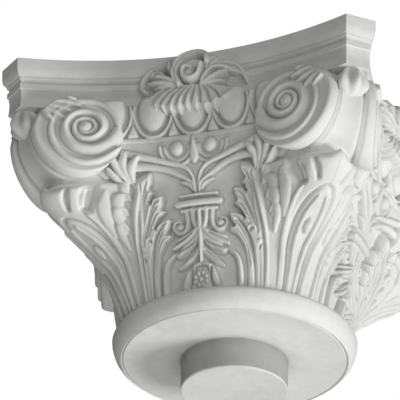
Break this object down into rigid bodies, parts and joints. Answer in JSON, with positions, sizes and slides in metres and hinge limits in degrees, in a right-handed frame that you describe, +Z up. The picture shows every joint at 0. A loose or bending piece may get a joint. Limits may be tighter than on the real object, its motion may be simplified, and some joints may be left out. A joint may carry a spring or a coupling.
{
  "type": "corinthian capital",
  "caption": "Cast plaster column capital in the corinthian order: leafy bell, corner volutes, egg course, hollow-sided abacus with flowers, ring moulding and locating boss below.",
  "frame": {"origin": "centre of the flat underside of the boss, the lowest face", "axes": "+Z up the column's axis, -Y out of one face of the abacus, +X to that face's right"},
  "size_m": [0.4992, 0.4992, 0.3877],
  "materials": {
    "plaster": "matt cast plaster, off-white, edges softened by the mould"
  },
  "bodies": {
    "root": {"capital": "plaster"}
  },
  "joints": []
}
